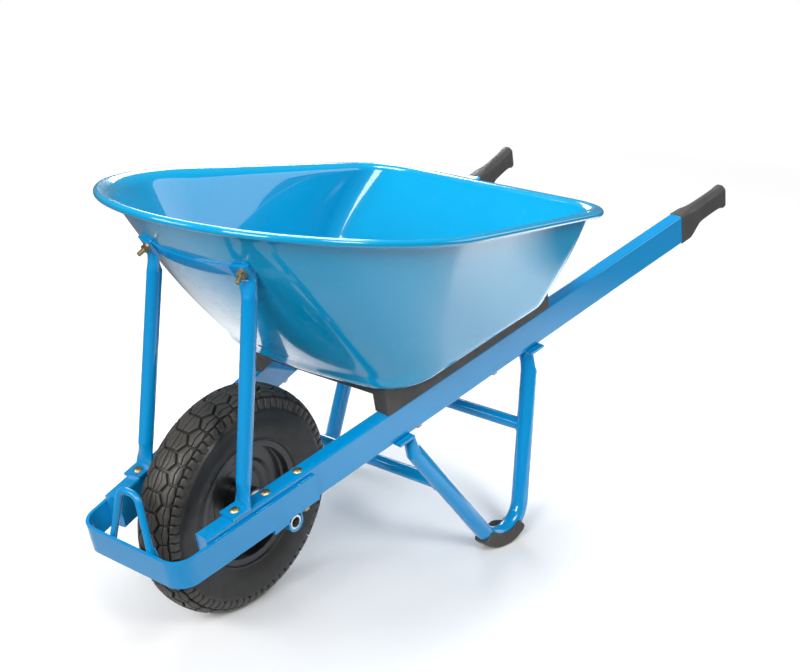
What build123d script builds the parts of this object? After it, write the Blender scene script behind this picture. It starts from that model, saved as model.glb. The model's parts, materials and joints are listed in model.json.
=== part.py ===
from build123d import *
from math import atan, cos, hypot, radians, sin, tan
import os

os.makedirs("parts", exist_ok=True)

# Wheelbarrow. Millimetres, +X forward to the wheel, +Y the user's left, +Z up.
# The origin is on the ground under the middle of the whole barrow.

# ---- Driving dimensions -------------------------------------------------
# Axle and wheel
AXLE_X = 481.0
AXLE_Z = 200.0
AXLE_RADIUS = 12.5
AXLE_BORE = 9.0
AXLE_LENGTH = 275.0
TYRE_RADIUS = 200.0
TYRE_HALF_WIDTH = 47.0
TYRE_WALL = 7.0
TREAD_MID = (0.5, 2.0)
TREAD_EDGE = (0.8, 9.0)
WALL_FOOT = (8.0, 4.0)
BEAD_TOE = (1.2, 0.8)
SEAT_RADIUS = 101.5
SEAT_Y = 31.0
TUBE_GAP = 0.4
TUBE_WALL = 2.5
RIM_SHEET = 2.0
RIM_FLANGE = 112.0
VALVE_Y = 22.0
VALVE_END = 78.0
VALVE_RADIUS = 4.0
VALVE_ANGLE = 200.0
VALVE_CAP_LENGTH = 9.0
VALVE_CAP_RADIUS = 5.0
VALVE_CAP_CHAMFER = 0.6
# Middle of the pressed sheet: distance from the wheel's centre plane, radius
RIM_PROFILE = (
    (2.0, 30.5),
    (2.0, 54.0),
    (7.0, 60.0),
    (7.0, 70.0),
    (13.0, 76.0),
    (13.0, 96.5),
    (17.0, 100.5),
    (32.0, 100.5),
    (33.5, 111.0),
    (37.0, 112.5),
)
HUB_RADIUS = 29.5
HUB_BORE = 26.0
HUB_HALF = 45.0
RACE_WIDTH = 15.0
RACE_EDGE = 44.0
RACE_LAND = 3.8
BALL_RADIUS = 3.97
BALL_GROOVE = 4.05
BALL_PITCH = 19.25
BALL_COUNT = 9
SHIELD_THICKNESS = 0.8
SHIELD_GAP = 0.5
SPACER_RADIUS = 16.5
SLIP_FIT = 0.05

# Rails: straight rectangular tubes that rise to the handles and splay apart.
# Stations run along the deck, the plane of the rail undersides, from above
# the axle: positive forward, negative towards the handles.
RAIL_HEIGHT = 62.0
RAIL_WIDTH = 28.0
RAIL_WALL = 2.0
RAIL_CORNER = 4.0
RAIL_SLOPE = 13.2
RAIL_SPLAY = 6.86
RAIL_Y = 124.5
RAIL_Z = 217.8
RAIL_FRONT = 171.0
RAIL_REAR = -1077.0
CAP_THICKNESS = 3.0

# Fasteners
BOLT_RADIUS = 4.0
BOLT_HOLE = 4.25
HEAD_RADIUS = 8.5
HEAD_HEIGHT = 4.0
HEAD_CROWN = (0.62, 0.72)
NUT_RADIUS = 7.5
NUT_HEIGHT = 6.5
WASHER_RADIUS = 8.4
WASHER_THICKNESS = 1.6
BOLT_TAIL = 3.5
LONG_TAIL = 12.0
CLAMP_PITCH = 34.5
STAY_FOOT = 101.0
TRAY_BOLT_STATIONS = (-300.0, -500.0)

# Axle clamps under the rails
CLAMP_STRAP = 4.0
CLAMP_LENGTH = 96.0
CLAMP_WIDTH = 28.0

# Nose
NOSE_HEIGHT = 50.0
NOSE_THICKNESS = 5.5
NOSE_FRONT = 237.0
NOSE_REAR = -48.0
NOSE_CORNER = 38.0
HOOP_ROD = 6.0
HOOP_X = 229.0
HOOP_FOOT_Y = 48.0
HOOP_TOP_Y = 19.0
HOOP_FOOT_Z = 192.0
HOOP_TOP_Z = 299.5
HOOP_BEND = 17.0

# Flattened tube ends
TAB_THICKNESS = 5.0

# Stays between the rails and the front wall of the tray
STAY_RADIUS = 12.7
STAY_TUBE_WALL = 1.8
STAY_TAB_WIDTH = 34.0
STAY_LANDING = 84.0
STAY_TAB_END = 15.0
STAY_TOP = (61.0, 106.0, 597.0)
STAY_BOLT = (76.0, 105.5, 637.0)
STAY_CRIMP = 38.0
STRAP_WIDTH = 25.0
STRAP_EYE = 19.0
STRAP_THICKNESS = 5.0

# Legs: one bent tube each side, a V below the rail that leans outward
LEG_RADIUS = 16.0
LEG_WALL = 2.0
LEG_FRONT = -250.6
LEG_REAR = -598.0
LEG_BEND = 60.0
LEG_SPLAY = 9.8
LEG_OUTSET = 8.0
LEG_APEX_DEPTH = 391.0
LEG_CRIMP = 42.0
LEG_TAB_WIDTH = 34.0
LEG_TAB_REACH = 36.0
BRACE_RADIUS = 12.5
BRACE_WALL = 1.8
REAR_BRACE_DEPTH = 138.0
FRONT_BRACE_DEPTH = 132.0
SHOE_WALL = 3.5
SHOE_SOLE = 5.0
SHOE_LIP = 6.0
SHOE_ARC = 84.0

# Tray: a pressed steel pan. Each outline is one level of the pan, with its
# front and rear edges measured from the axle.
SHEET = 1.5
FLOOR_GAP = 32.5
RIM_HEIGHT = 702.0
RIM_SLOPE = 7.9
LIP_WIDTH = 19.0
BEAD_RADIUS = 6.5
FLOOR_FLAT = dict(
    front=-266, nose=136, nose_arc=5.2, corner=18, taper=-6.1, rear=-538, rear_corner=20
)
FLOOR_CURVE = dict(
    front=-190, nose=146, nose_arc=7.0, corner=61, taper=-5.5, rear=-589, rear_corner=60
)
KNEE = dict(
    front=-137, nose=135, nose_arc=8.8, corner=110, taper=-3.8, rear=-614, rear_corner=92
)
WALL_TOP = dict(
    front=142, nose=195, nose_arc=40, corner=119, taper=5.7, rear=-724, rear_corner=88
)
FLOOR_LEVELS = ((0.0, FLOOR_FLAT), (0.06, FLOOR_CURVE))
KNEE_LEVEL = 0.2
WALL_STEPS = 3

# Packers between the rails and the tray
PACKER_FRONT = -224.0
PACKER_REAR = -650.0
PACKER_WIDTH = 32.0
PACKER_NOSE = 53.0
PACKER_NOSE_LENGTH = 70.0
PACKER_TOP = 33.5
BRIDGE_LENGTH = 13.0
BRIDGE_THICKNESS = 9.0
BRIDGE_SETBACK = 2.0
BRIDGE_DROP = 19.0

# Grips
GRIP_COLLAR = (31.0, 65.0, 5.0)
GRIP_HAND = (27.0, 47.0, 9.0)
GRIP_COLLAR_LENGTH = 34.0
GRIP_TAPER_LENGTH = 38.0
GRIP_HAND_LENGTH = 94.0
GRIP_PLUG_LENGTH = 40.0
GRIP_END_ROUND = 7.0

# ---- Frame geometry -----------------------------------------------------
DECK_UP = Vector(sin(radians(RAIL_SLOPE)), 0, cos(radians(RAIL_SLOPE)))
DECK = Plane(origin=(AXLE_X, 0, RAIL_Z), x_dir=(DECK_UP.Z, 0, -DECK_UP.X), z_dir=DECK_UP)
BACK = (DECK.x_dir * -cos(radians(RAIL_SPLAY))) + (DECK.y_dir * sin(radians(RAIL_SPLAY)))
OUT = BACK.cross(DECK_UP)


def rail_point(station, up=0.0, out=0.0):
    """Point above the left rail's underside centreline."""
    side = RAIL_Y - station * tan(radians(RAIL_SPLAY))
    return DECK.from_local_coords((station, side, up)) + OUT * out


def rail_deck(station, up=0.0, out=0.0):
    """Plane parallel to the deck over the left rail, x towards the handle."""
    return Plane(origin=rail_point(station, up, out), x_dir=BACK, z_dir=DECK_UP)


def rail_section(station):
    """Plane across the left rail, x towards the middle and y up."""
    return Plane(origin=rail_point(station), x_dir=-OUT, z_dir=BACK)


def rail_run(start, end):
    """Length along a rail between two stations."""
    return abs(start - end) / cos(radians(RAIL_SPLAY))


def save(piece, name):
    piece.part.label = name
    export_step(piece.part, f"parts/{name}.step")


def save_pair(left, name):
    """Write a left-hand piece and its mirror image."""
    save(left, f"{name}_left")
    with BuildPart() as right:
        mirror(left.part, about=Plane.XZ)
    save(right, f"{name}_right")


AXLE_LOCAL = DECK.to_local_coords(Vector(AXLE_X, 0, AXLE_Z))
CLAMP_STATIONS = (AXLE_LOCAL.X + CLAMP_PITCH, AXLE_LOCAL.X - CLAMP_PITCH)
PAD_THICKNESS = -AXLE_LOCAL.Z - AXLE_RADIUS
CLAMP_UNDERSIDE = -PAD_THICKNESS - CLAMP_STRAP
FLOOR_HEIGHT = RAIL_HEIGHT + FLOOR_GAP * cos(radians(RAIL_SLOPE))
RAIL_BOLT_STATIONS = CLAMP_STATIONS + (STAY_FOOT,) + TRAY_BOLT_STATIONS


# ---- Fastener patterns --------------------------------------------------


def carriage_bolt(length):
    """Domed bolt, head above the origin and shank below it."""
    with BuildPart() as bolt:
        with BuildSketch(Plane.XZ):
            with BuildLine():
                crown = ThreePointArc(
                    (0, HEAD_HEIGHT),
                    (HEAD_CROWN[0] * HEAD_RADIUS, HEAD_CROWN[1] * HEAD_HEIGHT),
                    (HEAD_RADIUS, 0),
                )
                Polyline(crown @ 1, (0, 0), crown @ 0)
            make_face()
        revolve(axis=Axis.Z)
        Cylinder(BOLT_RADIUS, length, align=(Align.CENTER, Align.CENTER, Align.MAX))
        chamfer(bolt.edges().sort_by(Axis.Z)[0], BOLT_RADIUS / 4)
    return bolt.part


def hex_nut():
    """Nut hanging below the origin, its hole a close fit on the shank."""
    with BuildPart() as nut:
        with BuildSketch():
            RegularPolygon(NUT_RADIUS, 6)
            Circle(BOLT_RADIUS + SLIP_FIT, mode=Mode.SUBTRACT)
        extrude(amount=-NUT_HEIGHT)
    return nut.part


def washer():
    """Flat washer hanging below the origin."""
    with BuildPart() as ring:
        with BuildSketch():
            Circle(WASHER_RADIUS)
            Circle(BOLT_HOLE, mode=Mode.SUBTRACT)
        extrude(amount=-WASHER_THICKNESS)
    return ring.part


def fastener_pair(pattern, planes):
    """Copies of one fastener on the left, mirrored to the right."""
    with BuildPart() as group:
        with Locations(*planes):
            add(pattern)
        mirror(about=Plane.XZ)
    return group


def drill(planes, depth):
    """Bolt holes through the current part, centred on each plane."""
    with Locations(*planes):
        Cylinder(BOLT_HOLE, depth, mode=Mode.SUBTRACT)


def bolt_length(grip, tail=BOLT_TAIL):
    return grip + WASHER_THICKNESS + NUT_HEIGHT + tail


# ---- Rails --------------------------------------------------------------
with BuildPart() as rail:
    with BuildSketch(rail_section(RAIL_FRONT)):
        with Locations((0, RAIL_HEIGHT / 2)):
            RectangleRounded(RAIL_WIDTH, RAIL_HEIGHT, RAIL_CORNER)
            RectangleRounded(
                RAIL_WIDTH - 2 * RAIL_WALL,
                RAIL_HEIGHT - 2 * RAIL_WALL,
                RAIL_CORNER - RAIL_WALL,
                mode=Mode.SUBTRACT,
            )
    extrude(amount=rail_run(RAIL_FRONT, RAIL_REAR))
    drill([rail_deck(station, RAIL_HEIGHT / 2) for station in RAIL_BOLT_STATIONS], 2 * RAIL_HEIGHT)
save_pair(rail, "rail")

with BuildPart() as rail_cap:
    with BuildSketch(rail_section(RAIL_FRONT)):
        with Locations((0, RAIL_HEIGHT / 2)):
            RectangleRounded(
                RAIL_WIDTH - 2 * RAIL_WALL, RAIL_HEIGHT - 2 * RAIL_WALL, RAIL_CORNER - RAIL_WALL
            )
    extrude(amount=CAP_THICKNESS)
save_pair(rail_cap, "rail_cap")

# ---- Nose bar and hoop --------------------------------------------------


def rail_outer_y(station):
    half_width = RAIL_WIDTH / 2 / cos(radians(RAIL_SPLAY))
    return RAIL_Y - station * tan(radians(RAIL_SPLAY)) + half_width


NOSE_INSIDE = NOSE_FRONT - NOSE_THICKNESS
with BuildPart() as nose_bar:
    with BuildSketch(DECK):
        with BuildLine():
            FilletPolyline(
                (NOSE_REAR, rail_outer_y(NOSE_REAR)),
                (NOSE_INSIDE, rail_outer_y(NOSE_INSIDE)),
                (NOSE_INSIDE, -rail_outer_y(NOSE_INSIDE)),
                (NOSE_REAR, -rail_outer_y(NOSE_REAR)),
                radius=NOSE_CORNER - NOSE_THICKNESS,
            )
            offset(amount=NOSE_THICKNESS, side=Side.LEFT)
        make_face()
    extrude(amount=NOSE_HEIGHT)
save(nose_bar, "nose_bar")

with BuildPart() as nose_hoop:
    with BuildLine(Plane.YZ.offset(AXLE_X + HOOP_X)) as hoop_path:
        FilletPolyline(
            (HOOP_FOOT_Y, HOOP_FOOT_Z),
            (HOOP_TOP_Y, HOOP_TOP_Z),
            (-HOOP_TOP_Y, HOOP_TOP_Z),
            (-HOOP_FOOT_Y, HOOP_FOOT_Z),
            radius=HOOP_BEND,
        )
    with BuildSketch(Plane(origin=hoop_path.line @ 0, z_dir=hoop_path.line % 0)):
        Circle(HOOP_ROD)
    sweep()
    add(nose_bar.part, mode=Mode.SUBTRACT)
save(nose_hoop, "nose_hoop")

# ---- Axle, clamps and spacers -------------------------------------------
AXLE_PLANE = Plane(origin=(AXLE_X, 0, AXLE_Z), x_dir=(1, 0, 0), z_dir=(0, 1, 0))


def ring(outer, inner, start, length):
    """Tube on the axle line, from start along +Y."""
    with BuildPart() as tube:
        with BuildSketch(AXLE_PLANE.offset(start)):
            Circle(outer)
            Circle(inner, mode=Mode.SUBTRACT)
        extrude(amount=length)
    return tube


axle_tube = ring(AXLE_RADIUS, AXLE_BORE, -AXLE_LENGTH / 2, AXLE_LENGTH)
save(axle_tube, "axle_tube")

CLAMP_INNER_Y = RAIL_Y - CLAMP_WIDTH / 2
CLAMP_SIDE = Plane(origin=DECK.origin, x_dir=-DECK.x_dir, z_dir=(0, 1, 0)).offset(CLAMP_INNER_Y)
CLAMP_DRILL = [rail_deck(station) for station in CLAMP_STATIONS]
with BuildPart() as axle_pad:
    with BuildSketch(CLAMP_SIDE):
        with Locations((-AXLE_LOCAL.X, 0)):
            Rectangle(CLAMP_LENGTH, PAD_THICKNESS, align=(Align.CENTER, Align.MAX))
    extrude(amount=CLAMP_WIDTH)
    drill(CLAMP_DRILL, 4 * CLAMP_WIDTH)
save_pair(axle_pad, "axle_pad")

with BuildPart() as axle_clamp:
    with BuildSketch(CLAMP_SIDE):
        with Locations((-AXLE_LOCAL.X, -PAD_THICKNESS)):
            Rectangle(CLAMP_LENGTH, CLAMP_STRAP, align=(Align.CENTER, Align.MAX))
            Rectangle(
                2 * (AXLE_RADIUS + CLAMP_STRAP), AXLE_RADIUS, align=(Align.CENTER, Align.MAX)
            )
        with Locations((-AXLE_LOCAL.X, AXLE_LOCAL.Z)):
            Circle(AXLE_RADIUS + CLAMP_STRAP)
            Circle(AXLE_RADIUS, mode=Mode.SUBTRACT)
            Rectangle(
                2 * AXLE_RADIUS,
                2 * AXLE_RADIUS,
                align=(Align.CENTER, Align.MIN),
                mode=Mode.SUBTRACT,
            )
    extrude(amount=CLAMP_WIDTH)
    drill(CLAMP_DRILL, 4 * CLAMP_WIDTH)
save_pair(axle_clamp, "axle_clamp")

axle_spacer = ring(SPACER_RADIUS, AXLE_RADIUS, RACE_EDGE, CLAMP_INNER_Y - RACE_EDGE)
save_pair(axle_spacer, "axle_spacer")

clamp_grip = RAIL_HEIGHT + PAD_THICKNESS + CLAMP_STRAP
clamp_bolts = fastener_pair(
    carriage_bolt(bolt_length(clamp_grip)),
    [rail_deck(station, RAIL_HEIGHT) for station in CLAMP_STATIONS],
)
save(clamp_bolts, "clamp_bolts")
clamp_washers = fastener_pair(
    washer(), [rail_deck(station, CLAMP_UNDERSIDE) for station in CLAMP_STATIONS]
)
save(clamp_washers, "clamp_washers")
clamp_nuts = fastener_pair(
    hex_nut(), [rail_deck(station, CLAMP_UNDERSIDE - WASHER_THICKNESS) for station in CLAMP_STATIONS]
)
save(clamp_nuts, "clamp_nuts")

# ---- Wheel --------------------------------------------------------------
WHEEL_HALF = Plane(origin=(AXLE_X, 0, AXLE_Z), x_dir=(0, 1, 0), z_dir=(1, 0, 0))
WHEEL_AXIS = Axis((AXLE_X, 0, AXLE_Z), (0, 1, 0))


def tyre_outline(inset, foot):
    """Outline of the tyre or its tube, inset from the tread, closed at the foot radius."""
    crown = TYRE_RADIUS - inset
    side = TYRE_HALF_WIDTH - inset
    waist = (TYRE_RADIUS + SEAT_RADIUS) / 2
    with BuildLine() as outline:
        tread = ThreePointArc(
            (0, crown),
            (TREAD_MID[0] * side, crown - TREAD_MID[1]),
            (TREAD_EDGE[0] * side, crown - TREAD_EDGE[1]),
        )
        wall = Spline(tread @ 1, (side, waist), (side - WALL_FOOT[0], RIM_FLANGE + WALL_FOOT[1]))
        Polyline(
            wall @ 1,
            (SEAT_Y - inset + BEAD_TOE[0], RIM_FLANGE + BEAD_TOE[1]),
            (SEAT_Y - inset, foot),
            (0, foot),
        )
        mirror(about=Plane.YZ)
    return outline.line


def tyre_shell(outer_inset, outer_foot, inner_inset, inner_foot):
    """Hollow ring between two insets of the tyre outline."""
    with BuildPart() as shell:
        with BuildSketch(WHEEL_HALF):
            with BuildLine():
                add(tyre_outline(outer_inset, outer_foot))
            make_face()
        revolve(axis=WHEEL_AXIS)
        with BuildSketch(WHEEL_HALF):
            with BuildLine():
                add(tyre_outline(inner_inset, inner_foot))
            make_face()
        revolve(axis=WHEEL_AXIS, mode=Mode.SUBTRACT)
    return shell


tyre = tyre_shell(0, SEAT_RADIUS, TYRE_WALL, SEAT_RADIUS - RIM_SHEET)
save(tyre, "tyre")

TUBE_INSET = TYRE_WALL + TUBE_GAP
TUBE_FOOT = SEAT_RADIUS + TUBE_GAP
inner_tube = tyre_shell(TUBE_INSET, TUBE_FOOT, TUBE_INSET + TUBE_WALL, TUBE_FOOT + TUBE_WALL)
save(inner_tube, "inner_tube")

VALVE_PLANE = Plane(
    origin=(AXLE_X, VALVE_Y, AXLE_Z),
    x_dir=(0, 1, 0),
    z_dir=(cos(radians(VALVE_ANGLE)), 0, sin(radians(VALVE_ANGLE))),
)
with BuildPart() as rim_half:
    with BuildSketch(WHEEL_HALF):
        with BuildLine():
            Polyline(*RIM_PROFILE)
            offset(amount=RIM_SHEET / 2)
        make_face()
    revolve(axis=WHEEL_AXIS)
with BuildPart() as rim_left:
    add(rim_half.part)
    with BuildSketch(VALVE_PLANE):
        Circle(VALVE_RADIUS + SLIP_FIT)
    extrude(amount=RIM_FLANGE, mode=Mode.SUBTRACT)
save(rim_left, "rim_left")
with BuildPart() as rim_right:
    mirror(rim_half.part, about=Plane.XZ)
save(rim_right, "rim_right")

with BuildPart() as valve_stem:
    with BuildSketch(VALVE_PLANE.offset(VALVE_END)):
        Circle(VALVE_RADIUS)
    extrude(amount=TUBE_FOOT - VALVE_END)
    add(tyre.part, mode=Mode.SUBTRACT)
    add(inner_tube.part, mode=Mode.SUBTRACT)
save(valve_stem, "valve_stem")

with BuildPart() as valve_cap:
    with BuildSketch(VALVE_PLANE.offset(VALVE_END - VALVE_CAP_LENGTH)):
        Circle(VALVE_CAP_RADIUS)
    extrude(amount=VALVE_CAP_LENGTH)
    chamfer(valve_cap.edges(), VALVE_CAP_CHAMFER)
save(valve_cap, "valve_cap")

hub = ring(HUB_RADIUS, HUB_BORE, -HUB_HALF, 2 * HUB_HALF)
save(hub, "hub")

# ---- Bearings -----------------------------------------------------------
RACE_START = RACE_EDGE - RACE_WIDTH
RACE_MIDDLE = RACE_EDGE - RACE_WIDTH / 2


def race(outer, inner):
    """Left bearing ring with its ball groove."""
    with BuildPart() as body:
        with BuildSketch(AXLE_PLANE.offset(RACE_START)):
            Circle(outer)
            Circle(inner, mode=Mode.SUBTRACT)
        extrude(amount=RACE_WIDTH)
        with BuildSketch(WHEEL_HALF):
            with Locations((RACE_MIDDLE, BALL_PITCH)):
                Circle(BALL_GROOVE)
        revolve(axis=WHEEL_AXIS, mode=Mode.SUBTRACT)
    return body


save_pair(race(HUB_BORE, HUB_BORE - RACE_LAND), "bearing_outer")
save_pair(race(AXLE_RADIUS + RACE_LAND, AXLE_RADIUS), "bearing_inner")

with BuildPart() as bearing_balls:
    with Locations(AXLE_PLANE.offset(RACE_MIDDLE)):
        with PolarLocations(BALL_PITCH, BALL_COUNT):
            Sphere(BALL_RADIUS)
save_pair(bearing_balls, "bearing_balls")

SHIELD_INNER = AXLE_RADIUS + RACE_LAND + SHIELD_GAP
SHIELD_START = RACE_EDGE - SHIELD_THICKNESS
bearing_shield = ring(HUB_BORE - RACE_LAND, SHIELD_INNER, SHIELD_START, SHIELD_THICKNESS)
save_pair(bearing_shield, "bearing_shield")

# ---- Tray ---------------------------------------------------------------


def tray_plane(level, lift=0.0):
    """Plane of one tray level, turning from the deck's slope to the rim's."""
    floor_height = RAIL_Z + FLOOR_HEIGHT / cos(radians(RAIL_SLOPE))
    slope = (1 - level) * -tan(radians(RAIL_SLOPE)) + level * tan(radians(RIM_SLOPE))
    height = (1 - level) * floor_height + level * (RIM_HEIGHT - SHEET / 2) + lift
    return Plane(origin=(AXLE_X, 0, height), x_dir=(1, 0, slope), z_dir=(-slope, 0, 1))


def tray_outline(shape, inset=0.0):
    """Closed outline of one tray level, pulled in by inset all round."""
    arc = shape["nose_arc"]
    turn = 90 + shape["taper"]
    nose_radius = shape["nose"] / sin(radians(arc)) - inset
    corner_radius = shape["corner"] / (sin(radians(turn)) - sin(radians(arc))) - inset
    with BuildLine() as outline:
        nose = JernArc((shape["front"] - inset, 0), (0, 1), nose_radius, arc)
        corner = JernArc(nose @ 1, nose % 1, corner_radius, turn - arc)
        rear_radius = shape["rear_corner"] - inset
        rear_reach = rear_radius * (1 - sin(radians(shape["taper"])))
        side_run = (corner @ 1).X - (shape["rear"] + inset) - rear_reach
        side = PolarLine(corner @ 1, side_run / cos(radians(shape["taper"])), 90 + turn)
        rear = JernArc(side @ 1, side % 1, rear_radius, 180 - turn)
        Line(rear @ 1, ((rear @ 1).X, 0))
        mirror(about=Plane.XZ)
    return outline.line


def tray_section(shape, level, inset=0.0, lift=0.0):
    with BuildSketch(tray_plane(level, lift)) as section:
        with BuildLine():
            add(tray_outline(shape, inset))
        make_face()
    return section.sketch


def wall_level(step):
    """Level and outline part of the way up the straight wall."""
    share = step / WALL_STEPS
    level = KNEE_LEVEL + share * (1 - KNEE_LEVEL)
    return level, {key: (1 - share) * KNEE[key] + share * WALL_TOP[key] for key in KNEE}


def tray_body(inset, lift):
    """The pan as a filled block, pulled in by inset and lifted off its underside."""
    levels = FLOOR_LEVELS + tuple(wall_level(step) for step in range(WALL_STEPS + 1))
    with BuildPart() as block:
        loft([tray_section(shape, level, inset, lift * (1 - level)) for level, shape in levels])
    return block.part


tray_outer = tray_body(0, 0)
tray_inner = tray_body(SHEET, SHEET)
bead_wire = Wire((tray_plane(1.0, SHEET / 2) * tray_outline(WALL_TOP, -LIP_WIDTH)).edges())

with BuildPart() as tray_rim:
    with BuildSketch(Plane(origin=bead_wire @ 0, z_dir=bead_wire % 0)):
        Circle(BEAD_RADIUS)
        Circle(BEAD_RADIUS - SHEET, mode=Mode.SUBTRACT)
    sweep(path=bead_wire)

with BuildPart() as tray_lip:
    with BuildSketch(tray_plane(1.0)):
        with BuildLine():
            add(tray_outline(WALL_TOP, BEAD_RADIUS - SHEET / 2 - LIP_WIDTH))
        make_face()
        with BuildLine():
            add(tray_outline(WALL_TOP, SHEET))
        make_face(mode=Mode.SUBTRACT)
    extrude(amount=SHEET)


def wall_plane(x, y, z):
    """Plane on the tray's outside nearest a point, z pointing away from the tray."""
    outside = Vector(AXLE_X + x, y, z)
    on_wall = Vertex(*outside).distance_to_with_closest_points(tray_outer)[2]
    away = outside - on_wall
    across = Vector(0, 1, 0) - away * (away.Y / away.length**2)
    return Plane(origin=on_wall, x_dir=across, z_dir=away)


STAY_WALL = wall_plane(*STAY_BOLT)
TRAY_BOLT_PLANES = [rail_deck(station, FLOOR_HEIGHT) for station in TRAY_BOLT_STATIONS]


def both_sides(planes):
    """The planes and their mirror images across the barrow."""
    mirrored = [
        Plane(
            origin=(plane.origin.X, -plane.origin.Y, plane.origin.Z),
            z_dir=(plane.z_dir.X, -plane.z_dir.Y, plane.z_dir.Z),
        )
        for plane in planes
    ]
    return list(planes) + mirrored


with BuildPart() as tray:
    add(tray_outer)
    add(tray_inner, mode=Mode.SUBTRACT)
    add(tray_lip.part)
    add(tray_rim.part)
    drill(both_sides([STAY_WALL]), HEAD_RADIUS)
    drill(both_sides(TRAY_BOLT_PLANES), 2 * HEAD_RADIUS)
save(tray, "tray")

# ---- Strap and stays ----------------------------------------------------
STRAP_CENTRE = Plane(
    origin=(STAY_WALL.origin.X, 0, STAY_WALL.origin.Z),
    x_dir=(0, 1, 0),
    z_dir=(STAY_WALL.z_dir.X, 0, STAY_WALL.z_dir.Z),
)
with BuildPart() as stay_strap:
    with BuildSketch(STRAP_CENTRE.offset(-STRAP_WIDTH)):
        Rectangle(2 * STAY_WALL.origin.Y, STRAP_WIDTH)
        with Locations((STAY_WALL.origin.Y, 0), (-STAY_WALL.origin.Y, 0)):
            Circle(STRAP_EYE)
    extrude(amount=2 * STRAP_WIDTH)
    add(tray_body(-STRAP_THICKNESS / STAY_WALL.z_dir.X, 0), mode=Mode.INTERSECT)
    add(tray_outer, mode=Mode.SUBTRACT)
    drill(both_sides([STAY_WALL]), STRAP_WIDTH)
save(stay_strap, "stay_strap")

TAB_TOP = RAIL_HEIGHT + TAB_THICKNESS
stay_foot = rail_point(STAY_LANDING, TAB_TOP)
stay_head = Vector(AXLE_X + STAY_TOP[0], STAY_TOP[1], STAY_TOP[2])
STAY_AXIS = (stay_head - stay_foot).normalized()
stay_low = stay_foot + STAY_AXIS * STAY_CRIMP
stay_across = OUT - STAY_AXIS * OUT.dot(STAY_AXIS)
STAY_LOW = Plane(origin=stay_low, x_dir=stay_across, z_dir=STAY_AXIS)
STAY_HIGH = Plane(origin=stay_head, x_dir=stay_across, z_dir=STAY_AXIS)
STAY_FACE = STAY_WALL.offset(STRAP_THICKNESS)
STAY_NECK = Plane(
    origin=STAY_FACE.from_local_coords((0, -STAY_TAB_END, TAB_THICKNESS / 2)),
    x_dir=STAY_WALL.x_dir,
    z_dir=STAY_WALL.y_dir,
)
with BuildPart() as stay:
    with BuildSketch(STAY_LOW):
        Circle(STAY_RADIUS)
    with BuildSketch(rail_deck(STAY_LANDING, TAB_TOP)):
        Rectangle(TAB_THICKNESS, STAY_TAB_WIDTH)
    loft()
    with BuildSketch(STAY_HIGH):
        Circle(STAY_RADIUS)
    with BuildSketch(STAY_NECK):
        Rectangle(STAY_TAB_WIDTH, TAB_THICKNESS)
    loft()
    with BuildSketch(STAY_LOW):
        Circle(STAY_RADIUS)
        Circle(STAY_RADIUS - STAY_TUBE_WALL, mode=Mode.SUBTRACT)
    extrude(amount=(stay_head - stay_low).length)
    with BuildSketch(rail_deck(STAY_LANDING, RAIL_HEIGHT)):
        with Locations((TAB_THICKNESS / 2, 0)):
            Rectangle(
                STAY_FOOT - STAY_LANDING + STAY_TAB_END + TAB_THICKNESS,
                STAY_TAB_WIDTH,
                align=(Align.MAX, Align.CENTER),
            )
    extrude(amount=TAB_THICKNESS)
    with BuildSketch(STAY_FACE):
        Rectangle(STAY_TAB_WIDTH, 2 * STAY_TAB_END)
    extrude(amount=TAB_THICKNESS)
    drill([rail_deck(STAY_FOOT, TAB_TOP), STAY_WALL], 4 * STAY_TAB_WIDTH)
save_pair(stay, "stay")

foot_bolts = fastener_pair(
    carriage_bolt(bolt_length(TAB_TOP)), [rail_deck(STAY_FOOT, TAB_TOP)]
)
save(foot_bolts, "stay_foot_bolts")
save(fastener_pair(washer(), [rail_deck(STAY_FOOT)]), "stay_foot_washers")
save(
    fastener_pair(hex_nut(), [rail_deck(STAY_FOOT, -WASHER_THICKNESS)]), "stay_foot_nuts"
)

WALL_NORMAL_SHEET = SHEET * hypot(STAY_WALL.z_dir.X, STAY_WALL.z_dir.Y)
STAY_INSIDE = Plane(
    origin=STAY_WALL.offset(-WALL_NORMAL_SHEET).origin,
    x_dir=STAY_WALL.x_dir,
    z_dir=-STAY_WALL.z_dir,
)
STAY_NUT_FACE = WALL_NORMAL_SHEET + STRAP_THICKNESS + TAB_THICKNESS
stay_top_bolts = fastener_pair(
    carriage_bolt(bolt_length(STAY_NUT_FACE, LONG_TAIL)), [STAY_INSIDE]
)
with BuildPart() as stay_top_seated:
    add(stay_top_bolts.part)
    add(tray.part, mode=Mode.SUBTRACT)
save(stay_top_seated, "stay_top_bolts")
save(fastener_pair(washer(), [STAY_INSIDE.offset(-STAY_NUT_FACE)]), "stay_top_washers")
save(
    fastener_pair(hex_nut(), [STAY_INSIDE.offset(-STAY_NUT_FACE - WASHER_THICKNESS)]),
    "stay_top_nuts",
)

# ---- Legs, braces and foot shoes ----------------------------------------
LEG_MIDDLE = (LEG_FRONT + LEG_REAR) / 2
LEG_HALF = (LEG_FRONT - LEG_REAR) / 2 / cos(radians(RAIL_SPLAY))
LEG_PLANE = Plane(
    origin=rail_point(LEG_MIDDLE, 0, LEG_OUTSET),
    x_dir=BACK,
    z_dir=OUT * cos(radians(LEG_SPLAY)) + DECK_UP * sin(radians(LEG_SPLAY)),
)


def leg_side(depth):
    """Half the gap between the two sides of the V at a depth below the rail."""
    return LEG_HALF * (1 - depth / LEG_APEX_DEPTH)


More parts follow.
